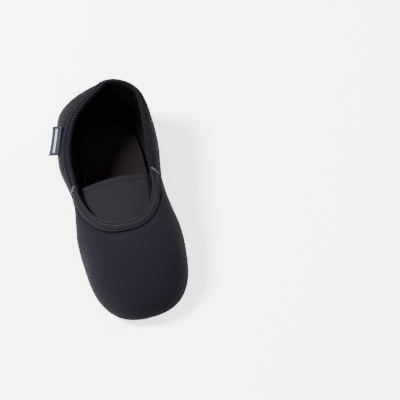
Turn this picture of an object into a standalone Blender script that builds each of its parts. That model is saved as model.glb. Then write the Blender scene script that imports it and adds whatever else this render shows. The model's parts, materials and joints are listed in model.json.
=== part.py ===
"""A junior ballet slipper for the right foot: split sole, elastic throat, mesh quarters, bound collar.

Sizes below are in millimetres, and MM turns them into Blender's metres. The slipper stands on its two
outsole pads at z = 0, with the toe at -Y, the heel at +Y and the medial (big toe) side at +X.

The upper is one ring-shaped form. A station s runs round it, from 0 at the toe, along the medial side to
HEEL at the back of the heel, and on along the lateral side to 2 * HEEL, which is the toe again. A height
v runs up it, from 0 at the feather line, where upper and sole meet, to 1 at the rim of the opening.
"""

import math

import bmesh
import bpy
import numpy as np
from mathutils import Matrix, Vector

MM = 0.001

# The medial half of the form, from the toe to the heel. Each section is a Bezier curve up the upper:
# feather point (x, y), low handle (x, y, z), high handle (x, y, z), rim point (x, y, z).
SECTIONS = (
    ((0.0, -84.5), (0.0, -100.0, 3.0), (0.0, -83.5, 36.0), (0.0, -25.5, 38.5)),  # toe centre
    ((16.5, -80.5), (22.5, -95.0, 3.0), (18.5, -77.5, 36.0), (9.0, -24.5, 38.5)),
    ((26.5, -68.0), (38.0, -78.5, 3.5), (30.5, -64.0, 36.0), (16.5, -20.5, 38.5)),  # toe corner
    ((31.0, -50.5), (43.0, -53.5, 4.0), (37.0, -45.0, 35.0), (22.0, -13.5, 38.0)),
    ((31.5, -32.5), (43.0, -32.5, 4.5), (39.0, -25.5, 34.5), (25.5, -5.5, 38.0)),  # ball of the foot
    ((29.0, -11.0), (38.5, -10.5, 5.5), (37.0, -7.5, 35.0), (28.0, 3.6, 38.5)),
    ((26.5, 12.0), (36.0, 12.0, 7.0), (37.5, 12.0, 36.5), (28.5, 12.9, 39.5)),  # side seam
    ((25.5, 34.5), (38.0, 34.5, 8.0), (43.0, 34.5, 39.0), (29.5, 33.1, 42.0)),
    ((25.0, 54.0), (38.0, 56.0, 9.0), (42.5, 56.0, 41.5), (28.5, 54.0, 45.0)),
    ((22.0, 69.5), (33.0, 75.9, 9.0), (37.0, 76.2, 44.0), (24.0, 73.2, 49.0)),
    ((13.5, 79.5), (19.5, 92.8, 9.0), (20.5, 92.4, 46.5), (13.5, 83.4, 53.0)),
    ((0.0, 83.0), (0.0, 100.0, 9.0), (0.0, 98.8, 48.0), (0.0, 87.2, 55.0)),  # heel centre
)
HEEL = len(SECTIONS) - 1
SEAM = 6  # the station of the side seams
HEEL_LEAN = 14.0  # the soft collar leans this far to the medial side at the back
BALL_SHIFT = 3.5  # the big toe's joint lies this far ahead of the middle, and the little toe's behind it
TOE_TURN = 0.8  # the toe's turn to the medial side
LATERAL_BULGE = 18.0  # how far the lateral quarter bellies out beyond the medial one, towards the heel
LATERAL_FULLNESS = 3.7  # how far it bellies out all along its upper half
FEATHER_Z = 1.8  # the underside of the upper, over the outsole pads
ARCH_RISE = 2.5
TOE_SPRING = 3.0

GAP = 0.35  # between pieces that touch
OUTER_THICK = 1.0  # the vamp's stretch cloth
LINING_THICK = 0.6
MESH_THICK = 1.6  # the quarters' spacer mesh
TAPE_THICK = 0.5
SEAM_HALF_GAP = 0.008  # of a station, each side of a seam

BINDING_WIDTH = 7.2
BINDING_LIFT = 0.7  # how far the binding's outer leg stands proud of the cloth
BINDING_LEG = 0.7
THREAD_RADIUS = 0.22
STITCH_ROWS = (1.9, 6.1)  # how far below the rim the binding's two rows of stitches run
STITCH_GROOVE = 0.45

OUTSOLE_THICK = 1.4
OUTSOLE_INSET = 2.5  # from the feather line to the edge of a pad
FOREFOOT_PAD_END = 4.85  # station of the forefoot pad's rear corners
HEEL_PAD_START = 7.15  # station of the heel pad's front corners
SOLE_STITCH_INSET = 2.6
BOTTOM_THICK = 0.9
CUSHION_THICK = 2.0
SOCK_THICK = 0.7

LABEL_LENGTH = 23.5
LABEL_REACH = 8.5
LABEL_PLY = 0.35
LABEL_FOLD_GAP = 0.35
LABEL_STATIONS = (13.5, 14.55)  # the ends of its sewn edge, on the lateral side
LABEL_DROOP = math.radians(20)
LABEL_CLEAR = 2.0  # from the mesh to the label's sewn edge

HINGE = (0.0, 15.0, 2.2)  # the line under the arch, across which the slipper bends
CENTRE = (2.1, -2.9, 0.0)  # moves the middle of the whole slipper over the origin

NAVY_BLACK = (0.030, 0.027, 0.035, 1)
BINDING_NAVY = (0.045, 0.045, 0.062, 1)
LINING_BLACK = (0.012, 0.010, 0.011, 1)
ELASTIC_GREY = (0.034, 0.033, 0.040, 1)
SUEDE_BLACK = (0.022, 0.020, 0.020, 1)
FOAM_GREY = (0.25, 0.25, 0.26, 1)
LABEL_NAVY = (0.018, 0.022, 0.045, 1)


# ---------------------------------------------------------------- the form


def ground(y):
    """The height of the underside at y: level over the pads, and raised at the arch and the toe."""
    arch = math.exp(-(((y - HINGE[1]) / 16) ** 2))
    toe = max(0.0, (-72 - y) / 15) ** 2
    return FEATHER_Z + ARCH_RISE * arch + TOE_SPRING * toe


def shape_to_foot(point, side, lean, belly):
    """Move a control point of the even form to its place in the form of a right foot."""
    x, y = point[0] * side + lean, point[1]
    ball = math.exp(-(((y + 25) / 40) ** 2)) * point[0] / 40
    x += TOE_TURN * max(0.0, (-20 - y) / 70) ** 1.5
    if side < 0:
        x -= belly * LATERAL_BULGE * math.exp(-(((y - 94) / 20) ** 2))
    return (x, y - side * BALL_SHIFT * ball, *point[2:])


def section_controls():
    """The four control points of each section of the whole ring, toe, medial side, heel, lateral side."""
    ring = []
    for turn in range(2 * HEEL):
        side = 1 if turn <= HEEL else -1
        feather, low, high, rim = SECTIONS[turn if turn <= HEEL else 2 * HEEL - turn]
        lean = max(0.0, (rim[1] - SECTIONS[SEAM][3][1]) / 73.5) ** 2 * HEEL_LEAN
        under = ground(feather[1])
        low = (*low[:2], low[2] + under - FEATHER_Z)
        if side < 0 and turn < 2 * HEEL - SEAM:
            high = (high[0] + LATERAL_FULLNESS, *high[1:])
        ring.append((
            shape_to_foot((*feather, under), side, 0.0, 0.2),
            shape_to_foot(low, side, 0.1 * lean, 0.35),
            shape_to_foot(high, side, 0.5 * lean, 1.0),
            shape_to_foot(rim, side, lean, -0.45),
        ))
    return np.array(ring)


def closed_spline_moments(values):
    """Second derivatives that make a closed cubic spline through the values, one unit apart."""
    count = len(values)
    step = np.eye(count)
    matrix = 4 * step + np.roll(step, 1, axis=1) + np.roll(step, -1, axis=1)
    bend = 6 * (np.roll(values, -1, axis=0) - 2 * values + np.roll(values, 1, axis=0))
    return np.linalg.solve(matrix, bend.reshape(count, -1)).reshape(values.shape)


CONTROLS = section_controls()
MOMENTS = closed_spline_moments(CONTROLS)


def controls_at(s):
    """The four control points at any station."""
    first = math.floor(s)
    t = s - first
    a, b = first % len(CONTROLS), (first + 1) % len(CONTROLS)
    bend = ((1 - t) ** 3 - (1 - t)) * MOMENTS[a] + (t**3 - t) * MOMENTS[b]
    return (1 - t) * CONTROLS[a] + t * CONTROLS[b] + bend / 6


def form(s, v):
    """The point of the form at station s and height v."""
    weights = np.array([(1 - v) ** 3, 3 * v * (1 - v) ** 2, 3 * v * v * (1 - v), v**3])
    return weights @ controls_at(s)


def outward(s, v):
    """The form's unit normal, away from the foot."""
    ds, dv = 0.01, 0.002
    low, high = max(0.0, v - dv), min(1.0, v + dv)
    normal = np.cross(form(s + ds, v) - form(s - ds, v), form(s, high) - form(s, low))
    return normal / np.linalg.norm(normal)


def skin(s, v, lift=0.0):
    """A point lifted off the form by lift, or sunk below it where lift is negative."""
    return form(s, v) + lift * outward(s, v)


def height_below_rim(s, depth):
    """The height v that lies depth down the cloth from the rim."""
    heights = np.linspace(1.0, 0.2, 60)
    points = np.array([form(s, v) for v in heights])
    along = np.concatenate([[0], np.cumsum(np.linalg.norm(np.diff(points, axis=0), axis=1))])
    return float(np.interp(depth, along, heights))


def below_rim(s, depth, lift):
    """A point depth down the cloth from the rim, lifted off it. A negative depth stands above the rim."""
    if depth >= 0:
        return skin(s, height_below_rim(s, depth), lift)
    up = form(s, 1.0) - form(s, 0.98)
    return skin(s, 1.0, lift) - depth * up / np.linalg.norm(up)


def feather_inset(s, inset):
    """The point of the feather line at s, moved inset towards the middle of the sole, as (x, y)."""
    here = form(s, 0.0)[:2]
    along = form(s + 0.01, 0.0)[:2] - form(s - 0.01, 0.0)[:2]
    along /= np.linalg.norm(along)
    return here + inset * np.array([-along[1], along[0]])


# ---------------------------------------------------------------- making objects


def material(name, color, roughness):
    """A plain Principled material."""
    made = bpy.data.materials.new(name)
    made.use_nodes = True
    shader = made.node_tree.nodes["Principled BSDF"]
    shader.inputs["Base Color"].default_value = color
    shader.inputs["Roughness"].default_value = roughness
    shader.inputs["Metallic"].default_value = 0.0
    made.diffuse_color = color
    return made


def link(name, data, finish, half):
    """An object in the slipper's collection, riding on the empty of its half."""
    made = bpy.data.objects.new(name, data)
    data.materials.append(finish)
    bpy.data.collections["ballet_slipper"].objects.link(made)
    made.parent = half
    made.location = -half.location
    return made


def grid_mesh(name, rows):
    """A mesh of quads through rows of points, all rows as long as each other."""
    mesh = bpy.data.meshes.new(name)
    width = len(rows[0])
    points = [tuple(MM * p) for row in rows for p in row]
    faces = [
        (r * width + c, (r + 1) * width + c, (r + 1) * width + c + 1, r * width + c + 1)
        for r in range(len(rows) - 1)
        for c in range(width - 1)
    ]
    mesh.from_pydata(points, [], faces)
    mesh.shade_smooth()
    return mesh


def sheet(name, rows, thickness, finish, half):
    """A sheet of cloth: an open grid, thickened away from its outer face."""
    made = link(name, grid_mesh(name, rows), finish, half)
    solid = made.modifiers.new("Thickness", "SOLIDIFY")
    solid.thickness = MM * thickness
    solid.offset = -1
    solid.use_even_offset = True
    return made


def spread(first, last, count):
    """Even steps from first to last, with one more short step inside each end, so that edges stay square."""
    short = (last - first) / (count - 1) / 8
    return np.sort([*np.linspace(first, last, count), first + short, last - short])


def upper_panel(name, stations, low, high, sink, thickness, finish, half, columns=10):
    """A panel of the upper between two heights, each given as a function of the station."""
    rows = [
        [skin(s, v, -sink) for v in spread(low(s), high(s), columns)]
        for s in stations
    ]
    return sheet(name, rows, thickness, finish, half)


def loft(name, loops, finish, half):
    """A closed solid through equal loops of points, capped at both ends."""
    mesh = bpy.data.meshes.new(name)
    shape = bmesh.new()
    rings = [[shape.verts.new(MM * Vector(p)) for p in loop] for loop in loops]
    for ring, after in zip(rings, rings[1:]):
        for k in range(len(ring)):
            n = (k + 1) % len(ring)
            shape.faces.new((ring[k], ring[n], after[n], after[k]))
    caps = [shape.faces.new(reversed(rings[0])), shape.faces.new(rings[-1])]
    for cap in caps:
        cap.normal_update()
    bmesh.ops.triangulate(shape, faces=caps)
    bmesh.ops.recalc_face_normals(shape, faces=shape.faces)
    shape.to_mesh(mesh)
    shape.free()
    return link(name, mesh, finish, half)


def tube_curve(name, points, radius, closed):
    """A round tube through the points, as curve data."""
    curve = bpy.data.curves.new(name, "CURVE")
    curve.dimensions = "3D"
    curve.bevel_depth = MM * radius
    curve.bevel_resolution = 1
    curve.use_fill_caps = not closed
    spline = curve.splines.new("POLY")
    spline.points.add(len(points) - 1)
    for point, place in zip(spline.points, points):
        point.co = (*(MM * np.array(place)), 1)
    spline.use_cyclic_u = closed
    return curve


def thread(name, points, finish, half, closed=False):
    """A sewing thread along a row of stitches."""
    return link(name, tube_curve(name, points, THREAD_RADIUS, closed), finish, half)


# ---------------------------------------------------------------- the sole


def pad_outline(first, last, inset):
    """The outline of a pad that follows the feather line from first to last and is cut straight back across."""
    stations = np.linspace(first, last, 44)
    return [feather_inset(s, inset) for s in stations]


def outsole_pad(name, outline, groove, finish, half):
    """A suede pad: a flat outline with a shallow groove round its underside for the stitches."""
    flat = bpy.data.curves.new(name, "CURVE")
    flat.dimensions = "2D"
    flat.fill_mode = "BOTH"
    flat.extrude = MM * OUTSOLE_THICK / 2
    spline = flat.splines.new("POLY")
    spline.points.add(len(outline) - 1)
    for point, (x, y) in zip(spline.points, outline):
        point.co = (MM * x, MM * y, 0, 1)
    spline.use_cyclic_u = True
    pad = bpy.data.objects.new(name, mesh_of_curve(name, flat))
    pad.data.transform(Matrix.Translation((0, 0, MM * OUTSOLE_THICK / 2)))
    pad.data.materials.append(finish)
    bpy.data.collections["ballet_slipper"].objects.link(pad)
    pad.parent = half
    pad.location = -half.location

    cutter_path = [(x, y, 0.1) for x, y in groove]
    cutter_mesh = mesh_of_curve(name + "_groove", tube_curve(name + "_groove", cutter_path, 0.75, True))
    cutter = bpy.data.objects.new(name + "_groove", cutter_mesh)
    bpy.data.collections["cutters"].objects.link(cutter)
    cutter.parent = half
    cutter.location = -half.location
    cutter.hide_render = True
    cutter.display_type = "WIRE"
    cut = pad.modifiers.new("Stitch groove", "BOOLEAN")
    cut.operation = "DIFFERENCE"
    cut.object = cutter
    return pad


def mesh_of_curve(name, curve):
    """The mesh that a curve makes, with its caps welded on."""
    holder = bpy.data.objects.new(name + "_curve", curve)
    bpy.context.scene.collection.objects.link(holder)
    graph = bpy.context.evaluated_depsgraph_get()
    mesh = bpy.data.meshes.new_from_object(holder.evaluated_get(graph))
    bpy.data.objects.remove(holder)
    shape = bmesh.new()
    shape.from_mesh(mesh)
    bmesh.ops.remove_doubles(shape, verts=shape.verts, dist=1e-6)
    bmesh.ops.recalc_face_normals(shape, faces=shape.faces)
    shape.to_mesh(mesh)
    shape.free()
    mesh.name = name
    return mesh


def footbed_rows(first, last, inset, base, steps=22, columns=7):
    """Rows across the sole from station first to last, base above the underside, outer face down."""
    rows = []
    for s in np.linspace(first, last, steps):
        medial = feather_inset(s, inset)
        lateral = feather_inset(2 * HEEL - s, inset)
        across = [lateral + t * (medial - lateral) for t in np.linspace(0, 1, columns)]
        rows.append([np.array((x, y, ground(y) + base)) for x, y in across])
    return rows


def build_sole(front, rear, finishes):
    """The outsole pads and their threads, the bottom cloth, the cushions and the sock lining."""
    for label, first, last, half in (
        ("forefoot", -FOREFOOT_PAD_END, FOREFOOT_PAD_END, front),
        ("heel", HEEL_PAD_START, 2 * HEEL - HEEL_PAD_START, rear),
    ):
        outline = pad_outline(first, last, OUTSOLE_INSET)
        trim = 0.12 if half is front else 0.13
        stitches = pad_outline(first + trim, last - trim, OUTSOLE_INSET + SOLE_STITCH_INSET)
        outsole_pad(label + "_outsole", outline, stitches, finishes["suede"], half)
        path = [(x, y, 0.32) for x, y in stitches]
        thread(label + "_outsole_thread", path, finishes["thread"], half, closed=True)

    above = BOTTOM_THICK + GAP
    bottom = footbed_rows(0.2, HEEL - 0.2, 1.8, 0)
    sheet("bottom_cloth", bottom, BOTTOM_THICK, finishes["outer"], rear)
    toe_cushion = footbed_rows(0.35, 4.6, 3.0, above, steps=12)
    sheet("forefoot_cushion", toe_cushion, CUSHION_THICK, finishes["foam"], front)
    heel_cushion = footbed_rows(7.4, HEEL - 0.35, 3.0, above, steps=10)
    sheet("heel_cushion", heel_cushion, CUSHION_THICK, finishes["foam"], rear)
    above += CUSHION_THICK + GAP
    sock = footbed_rows(0.25, HEEL - 0.25, 1.2, above)
    sheet("sock_lining", sock, SOCK_THICK, finishes["lining"], rear)


# ---------------------------------------------------------------- the upper


def binding_loop(s):
    """A binding's section at s: a fold of tape over the rim, open below, with two stitched grooves."""
    top, leg = BINDING_LIFT, BINDING_LEG
    inner = -(MESH_THICK + leg)
    upper_row, lower_row = STITCH_ROWS
    dip = top - STITCH_GROOVE
    middle, slot_low, slot_top = 4.0, inner + leg + 0.1, top - leg - 0.1
    outline = (
        (BINDING_WIDTH, top - 0.15), (lower_row + 0.45, top), (lower_row, dip), (lower_row - 0.45, top),
        (middle, top), (upper_row + 0.45, top), (upper_row, dip), (upper_row - 0.45, top), (0.5, top - 0.15),
        (-0.5, 0.1), (-0.75, -0.8), (-0.5, inner + 0.7), (0.5, inner + 0.15), (middle, inner),
        (BINDING_WIDTH, inner), (BINDING_WIDTH, inner + leg), (middle, slot_low), (0.6, slot_low),
        (0.6, slot_top), (middle, slot_top), (BINDING_WIDTH, slot_top),
    )
    return [below_rim(s, depth, lift) for depth, lift in outline]


def binding_tape_loop(s):
    """The elastic tape inside a binding."""
    near, middle, far = 0.7 + GAP, 4.0, BINDING_WIDTH - 0.3
    top = BINDING_LIFT - BINDING_LEG - 0.25 - GAP
    low = -MESH_THICK + 0.2 + GAP
    outline = ((near, top), (near, low), (middle, low), (far, low), (far, top), (middle, top))
    return [below_rim(s, depth, lift) for depth, lift in outline]


def cloth_top(s):
    """The height at which the upper's cloth ends, just below the binding."""
    return height_below_rim(s, BINDING_WIDTH + GAP)


def stitch_path(stations, row):
    """Where a binding's thread lies, in the groove of that row."""
    lift = BINDING_LIFT - STITCH_GROOVE + GAP + THREAD_RADIUS
    return [below_rim(s, row, lift) for s in stations]


def throat_rows():
    """Rows across the throat elastic, from its front edge under the binding to its free rear edge."""
    tuck, sink = 4.2, MESH_THICK + BINDING_LEG + 2 * GAP
    rows = []
    for s in np.linspace(0.42, SEAM - 0.1, 12):
        medial, lateral = below_rim(s, tuck, -sink), below_rim(-s, tuck, -sink)
        share = (s - 0.42) / (SEAM - 0.52)
        crown = 2.6 * math.sin(share * math.pi / 2)
        bow = 2.2 * share**3
        row = []
        for t in np.linspace(0, 1, 11):
            arch = 1 - (2 * t - 1) ** 2
            row.append(medial + t * (lateral - medial) + np.array((0, bow * arch, crown * arch**2)))
        rows.append(row)
    return rows


def build_vamp(front, finishes):
    """The forepart of the upper: outer cloth, lining, throat binding and throat elastic."""
    end = SEAM - SEAM_HALF_GAP
    stations = spread(-end, end, 43)
    upper_panel("vamp_outer", stations, lambda s: 0.0, cloth_top, 0, OUTER_THICK, finishes["outer"], front)
    inner = spread(-end + 0.3, end - 0.3, 41)
    sink = OUTER_THICK + 2 * GAP
    upper_panel("vamp_lining", inner, lambda s: 0.16, cloth_top, sink, LINING_THICK, finishes["lining"], front)

    along = np.linspace(-end, end, 49)
    loft("vamp_binding", [binding_loop(s) for s in along], finishes["binding"], front)
    loft("vamp_binding_tape", [binding_tape_loop(s) for s in along], finishes["elastic"], front)
    for label, row in zip(("upper", "lower"), STITCH_ROWS):
        path = stitch_path(np.linspace(-end + 0.03, end - 0.03, 49), row)
        thread(f"vamp_binding_{label}_thread", path, finishes["thread"], front)
    sheet("throat_elastic", throat_rows(), 1.1, finishes["elastic"], front)


def build_quarters(rear, finishes):
    """The back part of the upper: two mesh quarters, their seam tapes, the heel grip and the collar."""
    start, finish = SEAM + SEAM_HALF_GAP, HEEL - SEAM_HALF_GAP
    for label, first, last in (
        ("medial", start, finish),
        ("lateral", 2 * HEEL - finish, 2 * HEEL - start),
    ):
        stations = spread(first, last, 21)
        upper_panel(f"quarter_{label}", stations, lambda s: 0.0, cloth_top, 0, MESH_THICK, finishes["mesh"], rear)

    tape_sink = MESH_THICK + GAP
    for label, middle in (("medial", SEAM), ("lateral", 2 * HEEL - SEAM)):
        stations = np.linspace(middle - 0.17, middle + 0.17, 5)
        upper_panel(
            f"side_seam_tape_{label}", stations, lambda s: 0.16,
            lambda s: height_below_rim(s, BINDING_WIDTH + 1), tape_sink, TAPE_THICK, finishes["lining"], rear,
        )
    stations = np.linspace(HEEL - 0.3, HEEL + 0.3, 7)
    upper_panel(
        "back_seam_tape", stations, lambda s: 0.16,
        lambda s: height_below_rim(s, BINDING_WIDTH + 1), tape_sink, TAPE_THICK, finishes["lining"], rear,
    )
    grip_sink = tape_sink + TAPE_THICK + GAP
    stations = np.linspace(HEEL - 1.6, HEEL + 1.6, 19)
    upper_panel(
        "heel_grip", stations, lambda s: 0.2,
        lambda s: 0.2 + 0.36 * math.cos((s - HEEL) / 1.6 * 1.1), grip_sink, LINING_THICK, finishes["lining"], rear,
    )

    along = np.linspace(start, 2 * HEEL - start, 53)
    loft("collar_binding", [binding_loop(s) for s in along], finishes["binding"], rear)
    loft("collar_elastic", [binding_tape_loop(s) for s in along], finishes["elastic"], rear)
    for label, row in zip(("upper", "lower"), STITCH_ROWS):
        path = stitch_path(np.linspace(start + 0.03, 2 * HEEL - start - 0.03, 53), row)
        thread(f"collar_{label}_thread", path, finishes["thread"], rear)


# ---------------------------------------------------------------- the label


def label_frame():
    """The middle of the label's sewn edge, and the directions along it, outwards in it, and up from it."""
    ends = [below_rim(s, BINDING_WIDTH + 1.2, LABEL_CLEAR) for s in LABEL_STATIONS]
    along = (ends[0] - ends[1]) / np.linalg.norm(ends[0] - ends[1])
    flat_out = np.cross((0, 0, 1), along)
    flat_out /= np.linalg.norm(flat_out)
    out = math.cos(LABEL_DROOP) * flat_out - math.sin(LABEL_DROOP) * np.array((0, 0, 1))
    out -= along * out.dot(along)
    out /= np.linalg.norm(out)
    return (ends[0] + ends[1]) / 2, along, out, np.cross(along, out)


def build_label(hinge, finishes):
    """A woven ribbon, folded double, with its fold outwards."""
    ply, gap, reach = LABEL_PLY, LABEL_FOLD_GAP, LABEL_REACH
    half = ply + gap / 2
    section = (
        (0, half), (reach - 0.4, half), (reach, 0), (reach - 0.4, -half), (0, -half),
        (0, -gap / 2), (reach - 0.9, -gap / 2), (reach - 0.9, gap / 2), (0, gap / 2),
    )
    loops = [
        [(x, out, up) for out, up in section]
        for x in np.linspace(-LABEL_LENGTH / 2, LABEL_LENGTH / 2, 9)
    ]
    made = loft("label_tab", loops, finishes["label"], hinge)
    made.location = (0, 0, 0)


# ---------------------------------------------------------------- putting it together


def empty(name, place, parent=None):
    """An empty that carries the pieces of one half, with its origin on that half's hinge line."""
    made = bpy.data.objects.new(name, None)
    bpy.data.collections["ballet_slipper"].objects.link(made)
    made.parent = parent
    made.location = MM * Vector(place)
    return made


def main():
    for old in list(bpy.data.objects):
        bpy.data.objects.remove(old)
    for name in ("ballet_slipper", "cutters"):
        bpy.context.scene.collection.children.link(bpy.data.collections.new(name))
    finishes = {
        "outer": material("stretch_cloth", NAVY_BLACK, 0.85),
        "mesh": material("spacer_mesh", NAVY_BLACK, 0.9),
        "binding": material("binding_cloth", BINDING_NAVY, 0.8),
        "lining": material("lining_cloth", LINING_BLACK, 0.9),
        "elastic": material("ribbed_elastic", ELASTIC_GREY, 0.75),
        "suede": material("sole_suede", SUEDE_BLACK, 0.95),
        "foam": material("cushion_foam", FOAM_GREY, 0.9),
        "thread": material("sewing_thread", NAVY_BLACK, 0.6),
        "label": material("woven_label", LABEL_NAVY, 0.7),
    }
    whole = empty("slipper", CENTRE)
    front = empty("forefoot_half", (0, 0, 0), whole)
    rear = empty("heel_half", HINGE, whole)
    build_sole(front, rear, finishes)
    build_vamp(front, finishes)
    build_quarters(rear, finishes)

    middle, along, out, up = label_frame()
    hinge = empty("label_hinge", middle, whole)
    hinge.rotation_euler = Matrix((along, out, up)).transposed().to_euler()
    build_label(hinge, finishes)


main()
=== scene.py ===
"""The looks of a soft split-sole ballet slipper: stretch-cloth vamp, mesh quarters, bound collar.

The slipper's upper is one ring-shaped form. A station s runs round it, from 0 at the toe, along the medial
side to HEEL at the back, and on along the lateral side to the toe again. A height v runs up it, from 0 at
the feather line to 1 at the rim of the opening. Sizes are in millimetres, turned to metres when a mesh is
made.
"""

from __future__ import annotations

import json
import logging
import math
from dataclasses import dataclass, field
from enum import Enum

import bmesh
import bpy
import numpy as np
from mathutils import Matrix, Vector, noise


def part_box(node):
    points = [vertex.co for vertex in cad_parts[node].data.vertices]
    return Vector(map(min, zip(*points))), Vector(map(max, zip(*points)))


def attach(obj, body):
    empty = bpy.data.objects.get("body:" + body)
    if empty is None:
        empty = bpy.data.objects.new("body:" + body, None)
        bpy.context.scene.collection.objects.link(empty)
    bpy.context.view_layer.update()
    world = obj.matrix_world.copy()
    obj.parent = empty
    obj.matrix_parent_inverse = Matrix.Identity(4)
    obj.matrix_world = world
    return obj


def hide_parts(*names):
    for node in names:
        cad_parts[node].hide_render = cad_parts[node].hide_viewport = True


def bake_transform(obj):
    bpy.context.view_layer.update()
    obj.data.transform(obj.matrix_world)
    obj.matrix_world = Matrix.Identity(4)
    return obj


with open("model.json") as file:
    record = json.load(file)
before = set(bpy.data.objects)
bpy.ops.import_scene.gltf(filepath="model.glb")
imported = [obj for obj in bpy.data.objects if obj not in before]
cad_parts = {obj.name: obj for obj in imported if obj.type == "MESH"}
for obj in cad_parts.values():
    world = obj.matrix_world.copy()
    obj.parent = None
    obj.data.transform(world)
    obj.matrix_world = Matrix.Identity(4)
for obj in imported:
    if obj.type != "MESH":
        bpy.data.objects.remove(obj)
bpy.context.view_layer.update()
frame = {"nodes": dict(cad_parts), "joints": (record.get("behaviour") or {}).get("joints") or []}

LOG = logging.getLogger("slipper")
MM = 0.001
FOREFOOT, HEEL_HALF, LABEL = "forefoot", "heel", "label"
Rows = np.ndarray


# ---------------------------------------------------------------- the form

# The medial half: feather point (x, y), low handle, high handle and rim point (x, y, z) of each section.
SECTIONS = (
    ((0.0, -84.5), (0.0, -100.0, 3.0), (0.0, -83.5, 36.0), (0.0, -25.5, 38.5)),
    ((16.5, -80.5), (22.5, -95.0, 3.0), (18.5, -77.5, 36.0), (9.0, -24.5, 38.5)),
    ((26.5, -68.0), (38.0, -78.5, 3.5), (30.5, -64.0, 36.0), (16.5, -20.5, 38.5)),
    ((31.0, -50.5), (43.0, -53.5, 4.0), (37.0, -45.0, 35.0), (22.0, -13.5, 38.0)),
    ((31.5, -32.5), (43.0, -32.5, 4.5), (39.0, -25.5, 34.5), (25.5, -5.5, 38.0)),
    ((29.0, -11.0), (38.5, -10.5, 5.5), (37.0, -7.5, 35.0), (28.0, 3.6, 38.5)),
    ((26.5, 12.0), (36.0, 12.0, 7.0), (37.5, 12.0, 36.5), (28.5, 12.9, 39.5)),
    ((25.5, 34.5), (38.0, 34.5, 8.0), (43.0, 34.5, 39.0), (29.5, 33.1, 42.0)),
    ((25.0, 54.0), (38.0, 56.0, 9.0), (42.5, 56.0, 41.5), (28.5, 54.0, 45.0)),
    ((22.0, 69.5), (33.0, 75.9, 9.0), (37.0, 76.2, 44.0), (24.0, 73.2, 49.0)),
    ((13.5, 79.5), (19.5, 92.8, 9.0), (20.5, 92.4, 46.5), (13.5, 83.4, 53.0)),
    ((0.0, 83.0), (0.0, 100.0, 9.0), (0.0, 98.8, 48.0), (0.0, 87.2, 55.0)),
)
HEEL = len(SECTIONS) - 1
SEAM = 6.0  # the station of the side seams
SEAM_HALF_GAP = 0.008
SEAM_LAP = 0.004  # how far, in stations, the cloth on each side of a seam reaches past it


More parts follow.
